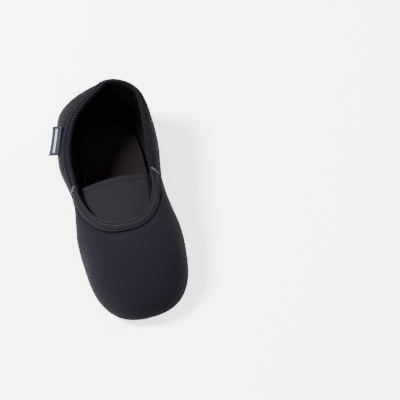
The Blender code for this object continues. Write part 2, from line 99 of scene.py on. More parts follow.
@dataclass(frozen=True)
class FootForm:
    """The ring-shaped form that every piece of the upper lies on."""

    heel_lean: float = 14.0
    ball_shift: float = 3.5
    toe_turn: float = 0.8
    lateral_bulge: float = 18.0
    lateral_fullness: float = 3.7
    feather_z: float = 1.8
    arch_rise: float = 2.5
    toe_spring: float = 3.0
    arch_y: float = 15.0
    centre: tuple[float, float, float] = (2.1, -2.9, 0.0)
    controls: np.ndarray = field(init=False)
    moments: np.ndarray = field(init=False)

    def __post_init__(self) -> None:
        """Work out the ring's control points and the spline through them."""
        controls = self._ring()
        object.__setattr__(self, "controls", controls)
        count = len(controls)
        step = np.eye(count)
        matrix = 4 * step + np.roll(step, 1, axis=1) + np.roll(step, -1, axis=1)
        bend = 6 * (np.roll(controls, -1, axis=0) - 2 * controls + np.roll(controls, 1, axis=0))
        moments = np.linalg.solve(matrix, bend.reshape(count, -1)).reshape(controls.shape)
        object.__setattr__(self, "moments", moments)

    def ground(self, y: np.ndarray | float) -> np.ndarray:
        """The height of the underside, before the form is centred.

        Args:
            y: Places along the slipper.

        Returns:
            The height at each.
        """
        y = np.asarray(y, float)
        arch = np.exp(-(((y - self.arch_y) / 16) ** 2))
        toe = np.maximum(0.0, (-72 - y) / 15) ** 2
        return self.feather_z + self.arch_rise * arch + self.toe_spring * toe

    def _to_foot(self, point: tuple[float, ...], side: int, lean: float, belly: float) -> tuple[float, ...]:
        """Move a control point of the even form to its place in a right foot's form.

        Args:
            point: The control point, as (x, y, z).
            side: 1 on the medial side, -1 on the lateral side.
            lean: How far it leans to the medial side.
            belly: Its share of the lateral quarter's bulge.

        Returns:
            The moved point.
        """
        x, y = point[0] * side + lean, point[1]
        ball = math.exp(-(((y + 25) / 40) ** 2)) * point[0] / 40
        x += self.toe_turn * max(0.0, (-20 - y) / 70) ** 1.5
        if side < 0:
            x -= belly * self.lateral_bulge * math.exp(-(((y - 94) / 20) ** 2))
        return (x, y - side * self.ball_shift * ball, *point[2:])

    def _ring(self) -> np.ndarray:
        """The control points of the whole ring.

        Returns:
            Four points for each section, from the feather line to the rim.
        """
        ring = []
        for turn in range(2 * HEEL):
            side = 1 if turn <= HEEL else -1
            feather, low, high, rim = SECTIONS[turn if turn <= HEEL else 2 * HEEL - turn]
            lean = max(0.0, (rim[1] - SECTIONS[int(SEAM)][3][1]) / 73.5) ** 2 * self.heel_lean
            under = float(self.ground(feather[1]))
            low = (*low[:2], low[2] + under - self.feather_z)
            if side < 0 and turn < 2 * HEEL - SEAM:
                high = (high[0] + self.lateral_fullness, *high[1:])
            ring.append((
                self._to_foot((*feather, under), side, 0.0, 0.2),
                self._to_foot(low, side, 0.1 * lean, 0.35),
                self._to_foot(high, side, 0.5 * lean, 1.0),
                self._to_foot(rim, side, lean, -0.45),
            ))
        return np.array(ring) + np.array(self.centre)

    def points(self, s: Rows, v: Rows) -> Rows:
        """Points of the form.

        Args:
            s: Their stations.
            v: Their heights, in an array that fits s.

        Returns:
            The points, with x, y and z along the last axis.
        """
        s, v = np.broadcast_arrays(np.asarray(s, float), np.asarray(v, float))
        first = np.floor(s)
        t = (s - first)[..., None, None]
        a = first.astype(int) % len(self.controls)
        b = (a + 1) % len(self.controls)
        bend = ((1 - t) ** 3 - (1 - t)) * self.moments[a] + (t**3 - t) * self.moments[b]
        handles = (1 - t) * self.controls[a] + t * self.controls[b] + bend / 6
        weights = np.stack([(1 - v) ** 3, 3 * v * (1 - v) ** 2, 3 * v * v * (1 - v), v**3], -1)
        return np.einsum("...k,...kc->...c", weights, handles)

    def normals(self, s: Rows, v: Rows) -> Rows:
        """Unit normals of the form, away from the foot.

        Args:
            s: Stations.
            v: Heights, in an array that fits s.

        Returns:
            One normal for each.
        """
        ds, dv = 0.01, 0.002
        along = self.points(s + ds, v) - self.points(s - ds, v)
        up = self.points(s, v + dv) - self.points(s, v - dv)
        normal = np.cross(along, up)
        return normal / np.linalg.norm(normal, axis=-1, keepdims=True)

    def lifted(self, s: Rows, v: Rows, lift: Rows | float) -> Rows:
        """Points lifted off the form, or sunk below it where lift is negative."""
        return self.points(s, v) + np.asarray(lift)[..., None] * self.normals(s, v)

    def height_below_rim(self, s: Rows, depth: Rows | float) -> Rows:
        """The heights v that lie some way down the cloth from the rim.

        Args:
            s: Stations.
            depth: How far down the cloth, one for all stations or one for each.

        Returns:
            One height for each station.
        """
        s = np.atleast_1d(np.asarray(s, float))
        heights = np.linspace(1.0, 0.2, 60)
        path = self.points(s[:, None], heights[None, :])
        steps = np.linalg.norm(np.diff(path, axis=1), axis=2)
        along = np.concatenate([np.zeros((len(s), 1)), np.cumsum(steps, axis=1)], axis=1)
        depth = np.broadcast_to(np.asarray(depth, float), s.shape)
        return np.array([np.interp(d, row, heights) for d, row in zip(depth, along)])

    def below_rim(self, s: Rows, depth: float, lift: Rows | float) -> Rows:
        """Points some way down the cloth from the rim.

        Args:
            s: Stations.
            depth: How far down the cloth. A negative depth stands above the rim.
            lift: How far off the form.

        Returns:
            One point for each station.
        """
        s = np.atleast_1d(np.asarray(s, float))
        if depth >= 0:
            return self.lifted(s, self.height_below_rim(s, depth), np.broadcast_to(lift, s.shape))
        top = np.ones_like(s)
        up = self.points(s, top) - self.points(s, top - 0.02)
        up /= np.linalg.norm(up, axis=-1, keepdims=True)
        return self.lifted(s, top, np.broadcast_to(lift, s.shape)) - depth * up

    def inset(self, s: Rows, distance: float) -> Rows:
        """The feather line, moved towards the middle of the sole.

        Args:
            s: Stations.
            distance: How far it is moved.

        Returns:
            One point (x, y) for each station.
        """
        s = np.atleast_1d(np.asarray(s, float))
        zero = np.zeros_like(s)
        along = (self.points(s + 0.01, zero) - self.points(s - 0.01, zero))[:, :2]
        along /= np.linalg.norm(along, axis=1, keepdims=True)
        inwards = np.stack([-along[:, 1], along[:, 0]], -1)
        return self.points(s, zero)[:, :2] + distance * inwards

    def ground_at(self, y: Rows | float) -> Rows:
        """The height of the underside at y, in the centred form."""
        return self.ground(np.asarray(y) - self.centre[1])


FORM = FootForm()

# The rings of one stitch: share of the way along it, share of the radius, and how far it dips into the cloth.
STITCH_RINGS = ((0.06, 0.35, 0.75), (0.18, 0.9, 0.2), (0.5, 1.0, 0.0), (0.82, 0.9, 0.2), (0.94, 0.35, 0.75))


def creases(points: Rows, size: float, seed: float) -> Rows:
    """Slow, smooth rises and dips of -1 to 1, as soft cloth has.

    Args:
        points: Points in millimetres, in rows.
        size: The width of a crease, in millimetres.
        seed: Which of many patterns to use.

    Returns:
        One value for each point.
    """
    flat = points.reshape(-1, 3) / size
    values = [noise.noise(Vector(p) + Vector((seed, -seed, 0.5 * seed))) for p in flat]
    return np.array(values).reshape(points.shape[:-1])


def face(*numbers: int) -> tuple[int, ...]:
    """A face, from the numbers of its points."""
    return tuple(int(number) for number in numbers)


def arc(points: Rows) -> Rows:
    """Distance along a path from its first point."""
    return np.concatenate([[0.0], np.cumsum(np.linalg.norm(np.diff(points, axis=0), axis=1))])


# ---------------------------------------------------------------- shader node groups


class Graph:
    """Adds nodes to one node tree."""

    def __init__(self, tree: bpy.types.NodeTree) -> None:
        """Start on an empty tree."""
        self.tree = tree
        tree.nodes.clear()

    def feed(self, socket: bpy.types.NodeSocket, value: object) -> None:
        """Link a socket to another, or set its value.

        Args:
            socket: The socket.
            value: Another socket, or the value.
        """
        if isinstance(value, bpy.types.NodeSocket):
            self.tree.links.new(value, socket)
        else:
            socket.default_value = value

    def add(self, kind: str, settings: dict | None = None, inputs: dict | None = None) -> bpy.types.Node:
        """Add a node.

        Args:
            kind: The node's type, without the word ShaderNode.
            settings: Its properties.
            inputs: Its sockets, by name or number, each a value or another socket.

        Returns:
            The node.
        """
        node = self.tree.nodes.new(kind if kind.startswith("NodeGroup") else "ShaderNode" + kind)
        for name, value in (settings or {}).items():
            setattr(node, name, value)
        for name, value in (inputs or {}).items():
            self.feed(node.inputs[name], value)
        return node

    def math(self, operation: str, *values: object) -> bpy.types.NodeSocket:
        """A number worked out from others."""
        return self.add("Math", {"operation": operation}, dict(enumerate(values))).outputs[0]

    def vector(self, operation: str, *values: object) -> bpy.types.Node:
        """A vector worked out from others."""
        return self.add("VectorMath", {"operation": operation}, dict(enumerate(values)))

    def blend(self, share: object, first: object, second: object) -> bpy.types.NodeSocket:
        """A colour between two others.

        Args:
            share: How much of the second, from 0 to 1.
            first: The first colour.
            second: The second colour.

        Returns:
            The socket that gives it.
        """
        node = self.add("Mix", {"data_type": "RGBA"})
        for number, value in ((0, share), (6, first), (7, second)):
            self.feed(node.inputs[number], value)
        return node.outputs[2]

    def remap(self, value: object, low: float, high: float, to_low: float, to_high: float) -> bpy.types.NodeSocket:
        """A number moved smoothly from one range to another."""
        ranges = {0: value, 1: low, 2: high, 3: to_low, 4: to_high}
        return self.add("MapRange", {"interpolation_type": "SMOOTHSTEP"}, ranges).outputs[0]

    def noise(self, where: object, scale: float, detail: float = 3.0) -> bpy.types.NodeSocket:
        """Noise of 0 to 1."""
        return self.add("TexNoise", None, {"Vector": where, "Scale": scale, "Detail": detail}).outputs["Fac"]


class Effect(Enum):
    """The surface effects that the finishes share, each a node group."""

    RIBS = "ribbed knit"
    WEAVE = "plain weave"
    HOLES = "mesh holes"
    FUZZ = "cloth fuzz"


GROUPS: dict[Effect, bpy.types.NodeTree] = {}


def new_group(
    effect: Effect, inputs: dict[str, tuple[str, float]], outputs: tuple[str, ...]
) -> tuple[Graph, dict, bpy.types.Node]:
    """Begin a node group.

    Args:
        effect: The effect that it makes.
        inputs: Its inputs, each with the kind of socket and the first value.
        outputs: Its outputs, all numbers.

    Returns:
        The graph to fill, the group's inputs by name, and its output node.
    """
    tree = bpy.data.node_groups.new(effect.value, "ShaderNodeTree")
    graph = Graph(tree)
    for name, (kind, value) in inputs.items():
        socket = tree.interface.new_socket(name=name, in_out="INPUT", socket_type="NodeSocket" + kind)
        if kind == "Float":
            socket.default_value = value
    for name in outputs:
        tree.interface.new_socket(name=name, in_out="OUTPUT", socket_type="NodeSocketFloat")
    into = graph.add("NodeGroupInput")
    out = graph.add("NodeGroupOutput")
    GROUPS[effect] = tree
    return graph, {socket.name: socket for socket in into.outputs if socket.name}, out


def build_ribs() -> None:
    """Fine ribs along the first axis of the cloth, with little stitches across them and slight waviness."""
    graph, into, out = new_group(
        Effect.RIBS, {"Vector": ("Vector", 0), "Pitch": ("Float", 1.0), "Cross": ("Float", 0.7)}, ("Height", "Shade")
    )
    split = graph.add("SeparateXYZ", None, {0: into["Vector"]})
    wander = graph.math("MULTIPLY", graph.math("SUBTRACT", graph.noise(into["Vector"], 0.12, 2.0), 0.5), 0.9)
    down = graph.math("ADD", split.outputs[1], wander)
    turns = graph.math("MULTIPLY", graph.math("DIVIDE", down, into["Pitch"]), 2 * math.pi)
    rib = graph.math("MULTIPLY_ADD", graph.math("SINE", turns), 0.5, 0.5)
    across = graph.math("DIVIDE", split.outputs[0], into["Cross"])
    stitch = graph.math("MULTIPLY_ADD", graph.math("SINE", graph.math("MULTIPLY", across, 2 * math.pi)), 0.5, 0.5)
    height = graph.math("MULTIPLY_ADD", stitch, 0.35, graph.math("MULTIPLY", rib, 0.65))
    graph.feed(out.inputs["Height"], height)
    graph.feed(out.inputs["Shade"], graph.math("POWER", height, 0.7))


def build_weave() -> None:
    """A plain weave: yarns over and under each other."""
    graph, into, out = new_group(Effect.WEAVE, {"Vector": ("Vector", 0), "Pitch": ("Float", 0.5)}, ("Height", "Shade"))
    pitches = graph.add("CombineXYZ", None, {i: into["Pitch"] for i in range(3)})
    scaled = graph.vector("DIVIDE", into["Vector"], pitches.outputs[0])
    split = graph.add("SeparateXYZ", None, {0: scaled.outputs[0]})
    one = graph.math("SINE", graph.math("MULTIPLY", split.outputs[0], 2 * math.pi))
    two = graph.math("SINE", graph.math("MULTIPLY", split.outputs[1], 2 * math.pi))
    height = graph.math("MULTIPLY_ADD", graph.math("MULTIPLY", one, two), 0.5, 0.5)
    graph.feed(out.inputs["Height"], height)
    graph.feed(out.inputs["Shade"], graph.math("MULTIPLY_ADD", height, 0.6, 0.4))


def build_holes() -> None:
    """Round holes on a hexagonal lattice, each with a soft raised edge."""
    graph, into, out = new_group(
        Effect.HOLES, {"Vector": ("Vector", 0), "Pitch": ("Float", 2.6), "Radius": ("Float", 0.7)}, ("Height", "Hole")
    )
    pitch = into["Pitch"]
    cell = graph.add("CombineXYZ", None, {0: pitch, 1: graph.math("MULTIPLY", pitch, math.sqrt(3)), 2: 1.0}).outputs[0]
    half = graph.vector("SCALE", cell)
    half.inputs["Scale"].default_value = 0.5
    flat = graph.vector("MULTIPLY", into["Vector"], (1.0, 1.0, 0.0)).outputs[0]
    distances = []
    for start in (flat, graph.vector("ADD", flat, half.outputs[0]).outputs[0]):
        ahead = graph.vector("ADD", start, (1000.0, 1000.0, 0.0))  # keeps every coordinate positive
        wrapped = graph.vector("MODULO", ahead.outputs[0], cell)
        inside = graph.vector("SUBTRACT", wrapped.outputs[0], half.outputs[0])
        level = graph.vector("MULTIPLY", inside.outputs[0], (1.0, 1.0, 0.0))
        distances.append(graph.vector("LENGTH", level.outputs[0]).outputs["Value"])
    near = graph.math("MINIMUM", *distances)
    reach = graph.math("DIVIDE", near, into["Radius"])
    graph.feed(out.inputs["Hole"], graph.remap(reach, 0.75, 1.1, 1.0, 0.0))
    graph.feed(out.inputs["Height"], graph.remap(reach, 0.6, 1.7, 0.0, 1.0))


def build_fuzz() -> None:
    """Short fibres and slow patches of lighter and darker cloth."""
    graph, into, out = new_group(
        Effect.FUZZ, {"Vector": ("Vector", 0), "Fibre": ("Float", 2400.0)}, ("Height", "Patch")
    )
    fibres = {"Vector": into["Vector"], "Scale": into["Fibre"], "Detail": 4.0, "Roughness": 0.7}
    fine = graph.add("TexNoise", None, fibres)
    graph.feed(out.inputs["Height"], fine.outputs["Fac"])
    graph.feed(out.inputs["Patch"], graph.remap(graph.noise(into["Vector"], 55.0, 5.0), 0.3, 0.7, 0.0, 1.0))


# ---------------------------------------------------------------- finishes


@dataclass(frozen=True)
class ClothFinish:
    """A cloth: its colour, its surface effect and its sheen."""

    name: str
    colour: tuple[float, float, float]
    effect: Effect
    pitch: float
    cross: float = 0.7
    bump: float = 0.35
    # How strong the painted shade in the texture's low points and the painted light on its tops are.
    contrast: float = 0.45
    rough: float = 0.85
    sheen: float = 0.25
    fibre: float = 2400.0
    dust: float = 0.12

    def build(self) -> bpy.types.Material:
        """The cloth's material.

        Returns:
            The material, with its texture taken from the cloth's own flat coordinates in millimetres.
        """
        made = bpy.data.materials.new(self.name)
        made.use_nodes = True
        graph = Graph(made.node_tree)
        flat = graph.add("UVMap", {"uv_map": "cloth"}).outputs[0]
        solid = graph.add("TexCoord").outputs["Object"]
        texture = graph.add("Group", {"node_tree": GROUPS[self.effect]}, {"Vector": flat, "Pitch": self.pitch})
        if self.effect is Effect.RIBS:
            texture.inputs["Cross"].default_value = self.cross
        fuzz = graph.add("Group", {"node_tree": GROUPS[Effect.FUZZ]}, {"Vector": solid, "Fibre": self.fibre})
        if self.effect is Effect.HOLES:
            texture.inputs["Radius"].default_value = self.cross
            shade = graph.math("SUBTRACT", 1.0, texture.outputs["Hole"])
        else:
            shade = texture.outputs["Shade"]
        # Painted shade in the low points of the ribs and the weave and in the mesh holes, and painted light on their
        # tops.
        deep = tuple(c * (1 - self.contrast) for c in self.colour)
        high = tuple(c * (1 + 0.5 * self.contrast) for c in self.colour)
        cloth = graph.blend(shade, (*deep, 1.0), (*high, 1.0))
        patchy = graph.math("MULTIPLY", fuzz.outputs["Patch"], 0.3)
        cloth = graph.blend(patchy, cloth, (*(0.75 * c for c in self.colour), 1.0))
        lint = graph.remap(fuzz.outputs["Height"], 0.62, 0.78, 0.0, self.dust)
        cloth = graph.blend(lint, cloth, (0.06, 0.058, 0.066, 1.0))
        # Painted shade: each point's shade attribute darkens the cloth towards near black where shadow falls in
        # grooves, at seams and inside the slipper.
        painted_shade = graph.add("Attribute", {"attribute_name": "shade"}).outputs["Fac"]
        cloth = graph.blend(painted_shade, (0.0006, 0.0005, 0.0008, 1.0), cloth)
        height = graph.math("MULTIPLY_ADD", fuzz.outputs["Height"], 0.3, texture.outputs["Height"])
        bump = graph.add("Bump", None, {"Strength": self.bump, "Distance": 0.0004, "Height": height})
        rough = graph.math("MULTIPLY_ADD", shade, -0.08, self.rough)
        shader = graph.add(
            "BsdfPrincipled", None,
            {"Base Color": cloth, "Roughness": rough, "Normal": bump.outputs[0], "Sheen Weight": self.sheen,
             "Sheen Roughness": 0.45, "Specular IOR Level": 0.045},
        )
        graph.add("OutputMaterial", None, {"Surface": shader.outputs[0]})
        return made


@dataclass(frozen=True)
class SuedeFinish:
    """Napped sole suede, with scattered scuffs."""

    name: str
    colour: tuple[float, float, float]

    def build(self) -> bpy.types.Material:
        """The suede's material.

        Returns:
            The material, with its nap and scuffs taken from the place in the slipper.
        """
        made = bpy.data.materials.new(self.name)
        made.use_nodes = True
        graph = Graph(made.node_tree)
        solid = graph.add("TexCoord").outputs["Object"]
        nap = graph.noise(solid, 900.0, 6.0)
        brushed = graph.remap(graph.noise(solid, 70.0, 4.0), 0.35, 0.65, 0.0, 1.0)
        cloth = graph.blend(brushed, (*(0.6 * c for c in self.colour), 1.0), (*(1.6 * c for c in self.colour), 1.0))
        scuff = graph.math("MULTIPLY", graph.remap(graph.noise(solid, 28.0, 8.0), 0.55, 0.75, 0.0, 1.0), 0.2)
        cloth = graph.blend(scuff, cloth, (0.045, 0.042, 0.04, 1.0))
        bump = graph.add("Bump", None, {"Strength": 0.6, "Distance": 0.0003, "Height": nap})
        shader = graph.add(
            "BsdfPrincipled", None,
            {"Base Color": cloth, "Roughness": graph.remap(nap, 0.3, 0.7, 0.98, 0.85), "Normal": bump.outputs[0],
             "Sheen Weight": 0.05, "Specular IOR Level": 0.08},
        )
        graph.add("OutputMaterial", None, {"Surface": shader.outputs[0]})
        return made


@dataclass(frozen=True)
class LabelFinish:
    """A woven ribbon: a dark ground with one plain pale panel."""

    name: str
    ground: tuple[float, float, float]
    pale: tuple[float, float, float]
    length: float

    def build(self) -> bpy.types.Material:
        """The ribbon's material.

        Returns:
            The material, with its stripe placed on the ribbon's own flat coordinates in millimetres.
        """
        made = bpy.data.materials.new(self.name)
        made.use_nodes = True
        graph = Graph(made.node_tree)
        flat = graph.add("UVMap", {"uv_map": "cloth"}).outputs[0]
        weave = graph.add("Group", {"node_tree": GROUPS[Effect.WEAVE]}, {"Vector": flat, "Pitch": 0.42})
        split = graph.add("SeparateXYZ", None, {0: flat})
        centre = self.length / 2
        from_middle = graph.math("ABSOLUTE", graph.math("SUBTRACT", split.outputs[0], centre))
        bar = graph.remap(from_middle, centre - 2.4, centre - 2.1, 1.0, 0.0)
        across = graph.math("ABSOLUTE", graph.math("SUBTRACT", split.outputs[1], 4.4))
        bar = graph.math("MULTIPLY", bar, graph.remap(across, 0.75, 0.95, 1.0, 0.0))
        cloth = graph.blend(bar, (*self.ground, 1.0), (*self.pale, 1.0))
        # Painted shade between the yarns of the weave.
        dark = graph.math("MULTIPLY", graph.math("SUBTRACT", 1.0, weave.outputs["Shade"]), 0.7)
        cloth = graph.blend(dark, cloth, (0.006, 0.007, 0.012, 1.0))
        bump = graph.add("Bump", None, {"Strength": 0.4, "Distance": 0.0003, "Height": weave.outputs["Height"]})
        shader = graph.add(
            "BsdfPrincipled", None,
            {"Base Color": cloth, "Roughness": graph.math("MULTIPLY_ADD", weave.outputs["Height"], -0.15, 0.65),
             "Normal": bump.outputs[0], "Sheen Weight": 0.03, "Specular IOR Level": 0.12},
        )
        graph.add("OutputMaterial", None, {"Surface": shader.outputs[0]})
        return made


class Finish(Enum):
    """The finishes of the slipper's pieces."""

    KNIT = ClothFinish(
        "vamp_stretch_knit", (0.0058, 0.0042, 0.0077), Effect.RIBS, 1.25, 0.8, bump=0.7, contrast=0.7, sheen=0.03
    )
    LINING = ClothFinish("lining_cloth", (0.0030, 0.0024, 0.0026), Effect.WEAVE, 0.7, sheen=0.0, dust=0.02)
    SOCK = ClothFinish(
        "sock_cloth", (0.0056, 0.0036, 0.0039), Effect.WEAVE, 0.9, sheen=0.0, dust=0.04, bump=0.5
    )
    BINDING = ClothFinish(
        "binding_jersey", (0.0060, 0.0056, 0.0080), Effect.RIBS, 0.9, 0.7, bump=0.6, contrast=0.6, sheen=0.04
    )
    COLLAR = ClothFinish(
        "collar_jersey", (0.0035, 0.0022, 0.0047), Effect.RIBS, 0.9, 0.7, bump=0.6, contrast=0.6, sheen=0.03
    )
    ELASTIC = ClothFinish(
        "throat_elastic_rib", (0.0060, 0.0058, 0.0077), Effect.RIBS, 0.8, 0.45, bump=0.3, contrast=0.35, sheen=0.03
    )
    MESH = ClothFinish(
        "quarter_spacer_mesh", (0.0050, 0.0040, 0.0057), Effect.HOLES, 2.2, 0.62, bump=1.0, contrast=0.95, sheen=0.03
    )
    TAPE = ClothFinish("seam_tape", (0.0045, 0.0038, 0.0048), Effect.WEAVE, 0.6, sheen=0.0, dust=0.02)
    FOAM = ClothFinish(
        "cushion_foam", (0.20, 0.20, 0.21), Effect.HOLES, 0.8, 0.25, bump=0.6, sheen=0.0, dust=0.0
    )
    THREAD = ClothFinish(
        "sewing_thread", (0.020, 0.020, 0.028), Effect.WEAVE, 0.35, bump=0.5, rough=0.6, sheen=0.05
    )
    TACK = ClothFinish(
        "bar_tack_thread", (0.090, 0.094, 0.115), Effect.WEAVE, 0.35, bump=0.5, rough=0.6, sheen=0.05
    )
    SUEDE = SuedeFinish("sole_suede", (0.0085, 0.0076, 0.0074))
    RIBBON = LabelFinish("woven_ribbon", (0.0062, 0.0080, 0.0170), (0.30, 0.32, 0.38), 23.5)


# ---------------------------------------------------------------- making pieces


@dataclass
class Workshop:
    """Makes meshes, dresses them and hides the CAD nodes that they stand for."""

    bend_start: tuple[float, float, float] = (0.0021, -0.0146, 0.0)
    bend_end: tuple[float, float, float] = (0.0021, 0.0374, 0.0)
    materials: dict[Finish, bpy.types.Material] = field(default_factory=dict)

    def material(self, finish: Finish) -> bpy.types.Material:
        """The material of a finish, made once.

        Args:
            finish: The finish.

        Returns:
            Its material.
        """
        if finish not in self.materials:
            self.materials[finish] = finish.value.build()
        return self.materials[finish]

    def mesh(
        self, name: str, points: Rows, faces: list, uvs: Rows, finish: Finish,
        angle: float = 50.0, shade: Rows | None = None,
    ) -> bpy.types.Object:
        """A piece from points in millimetres.

        Args:
            name: The piece's name.
            points: Its points.
            faces: Its faces, as tuples of point numbers.
            uvs: For each point, its place on the flat cloth, in millimetres.
            finish: Its finish.
            angle: Edges sharper than this, in degrees, stay crisp.
            shade: For each point, its painted shade, from 0 (black) to 1 (none): its cloth is darkened where shadow
                falls in grooves, at seams and inside the slipper.

        Returns:
            The new object, in place.
        """
        data = bpy.data.meshes.new(name)
        data.from_pydata((points * MM).tolist(), [], faces)
        self.set_shade(data, np.ones(len(points)) if shade is None else shade.ravel())
        layer = data.uv_layers.new(name="cloth")
        corners = np.empty(len(data.loops), dtype=np.int64)
        data.loops.foreach_get("vertex_index", corners)
        layer.data.foreach_set("uv", uvs[corners].astype(np.float32).ravel())
        shape = bmesh.new()
        shape.from_mesh(data)
        bmesh.ops.recalc_face_normals(shape, faces=shape.faces)
        shape.to_mesh(data)
        shape.free()
        data.shade_smooth()
        data.set_sharp_from_angle(angle=math.radians(angle))
        made = bpy.data.objects.new(name, data)
        bpy.context.scene.collection.objects.link(made)
        data.materials.append(self.material(finish))
        return made

    @staticmethod
    def set_shade(data: bpy.types.Mesh, shade: Rows) -> None:
        """Store the painted shade of the cloth at each point."""
        layer = data.attributes.new("shade", "FLOAT", "POINT")
        layer.data.foreach_set("value", np.clip(shade, 0, 1).astype(np.float32))

    def shell(
        self, name: str, outer: Rows, inner: Rows, uvs: Rows, finish: Finish,
        shade: Rows | None = None, inner_shade: float = 1.0,
    ) -> bpy.types.Object:
        """A sheet of cloth between two grids of points, closed round its edges.

        Args:
            name: The piece's name.
            outer: The outer face, in rows.
            inner: The inner face, in rows.
            uvs: The flat place of each point of a grid.
            finish: Its finish.
            shade: The painted shade of the outer face at each point.
            inner_shade: The painted shade of the inner face, as a share of the outer face's, for the shadow inside the
                slipper.

        Returns:
            The new object.
        """
        tall, wide = outer.shape[:2]
        count = tall * wide
        number = np.arange(count).reshape(tall, wide)
        faces = []
        for r in range(tall - 1):
            for c in range(wide - 1):
                quad = face(number[r, c], number[r + 1, c], number[r + 1, c + 1], number[r, c + 1])
                faces += [quad, face(*(k + count for k in reversed(quad)))]
        edge = [*number[:, 0], *number[-1, 1:], *number[-2::-1, -1], *number[0, -2:0:-1]]
        for a, b in zip(edge, [*edge[1:], edge[0]]):
            faces.append(face(b, a, a + count, b + count))
        points = np.concatenate([outer.reshape(-1, 3), inner.reshape(-1, 3)])
        flat = np.concatenate([uvs.reshape(-1, 2)] * 2)
        light = np.ones(count) if shade is None else shade.ravel()
        lights = np.concatenate([light, light * inner_shade])
        return self.mesh(name, points, faces, flat, finish, shade=lights)

    def sweep(
        self, name: str, loops: Rows, uvs: Rows, finish: Finish, shade: Rows | None = None
    ) -> bpy.types.Object:
        """A solid through equal closed loops of points.

        Args:
            name: The piece's name.
            loops: The loops, in order.
            uvs: The flat place of each point.
            finish: Its finish.
            shade: The painted shade of the cloth at each point.

        Returns:
            The new object.
        """
        count, size = loops.shape[:2]
        number = np.arange(count * size).reshape(count, size)
        faces = []
        for r in range(count - 1):
            for c in range(size):
                n = (c + 1) % size
                faces.append(face(number[r, c], number[r, n], number[r + 1, n], number[r + 1, c]))
        faces += [face(*number[0][::-1]), face(*number[-1])]
        return self.mesh(name, loops.reshape(-1, 3), faces, uvs.reshape(-1, 2), finish, shade=shade)

    def copy_of(self, node: str, name: str, finish: Finish) -> bpy.types.Object:
        """A hidden inner piece with the shape of its CAD node.

        Args:
            node: The CAD node.
            name: The piece's name.
            finish: Its finish.

        Returns:
            The new object.
        """
        data = frame["nodes"][node].data.copy()
        count = len(data.vertices)
        places = np.empty(count * 3)
        data.vertices.foreach_get("co", places)
        data.transform(frame["nodes"][node].matrix_world)
        corners = np.empty(len(data.loops), dtype=np.int64)
        data.loops.foreach_get("vertex_index", corners)
        layer = data.uv_layers.get("cloth") or data.uv_layers.new(name="cloth")
        flat = places.reshape(-1, 3)[:, :2] / MM
        layer.data.foreach_set("uv", flat[corners].astype(np.float32).ravel())
        if "shade" not in data.attributes:
            self.set_shade(data, np.ones(count))
        data.materials.clear()
        data.materials.append(self.material(finish))
        data.shade_smooth()
        data.set_sharp_from_angle(angle=math.radians(40))
        made = bpy.data.objects.new(name, data)
        bpy.context.scene.collection.objects.link(made)
        return made

    def stitches(
        self, name: str, path: Rows, normals: Rows, pitch: float, radius: float, finish: Finish
    ) -> bpy.types.Object:
        """A row of lock stitches: short rounded lengths of thread that dip into the cloth at both ends.

        Args:
            name: The row's name.
            path: Points along the row, close together.
            normals: The cloth's outward direction at each.
            pitch: From one stitch to the next.
            radius: The thread's radius.
            finish: Its finish.

        Returns:
            The new object.
        """
        along = arc(path)
        count = max(1, int(round(along[-1] / pitch)))
        step = along[-1] / count
        sides = 6
        points, faces, flats = [], [], []
        for k in range(count):
            ring_numbers = []
            for t, width, dip in STITCH_RINGS:
                at = (k + t) * step
                centre = np.array([np.interp(at, along, path[:, i]) for i in range(3)])
                up = np.array([np.interp(at, along, normals[:, i]) for i in range(3)])
                up /= np.linalg.norm(up)
                ahead = np.array([np.interp(min(at + 0.2, along[-1]), along, path[:, i]) for i in range(3)])
                behind = np.array([np.interp(max(at - 0.2, 0), along, path[:, i]) for i in range(3)])
                side = np.cross(ahead - behind, up)
                side /= np.linalg.norm(side)
                centre = centre - up * dip * radius * 1.6
                ring_numbers.append(len(points))
                for j in range(sides):
                    turn = 2 * math.pi * j / sides
                    points.append(centre + radius * width * (math.cos(turn) * side + math.sin(turn) * up))
                    flats.append((at, j * radius))
            for a, b in zip(ring_numbers, ring_numbers[1:]):
                for j in range(sides):
                    n = (j + 1) % sides
                    faces.append((a + j, a + n, b + n, b + j))
            faces.append(tuple(ring_numbers[0] + j for j in reversed(range(sides))))
            faces.append(tuple(ring_numbers[-1] + j for j in range(sides)))
        return self.mesh(name, np.array(points), faces, np.array(flats), finish)

    def bend(self, piece: bpy.types.Object, *nodes: str) -> bpy.types.Object:
        """Bake a piece's place into its mesh, hide the CAD nodes that it stands for and log its faces.

        Args:
            piece: The piece.
            nodes: The CAD nodes that it stands for, if any.

        Returns:
            The same piece.
        """
        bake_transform(piece)
        if nodes:
            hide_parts(*nodes)
        LOG.info("%s: %d faces", piece.name, len(piece.data.polygons))
        return piece


# ---------------------------------------------------------------- bindings


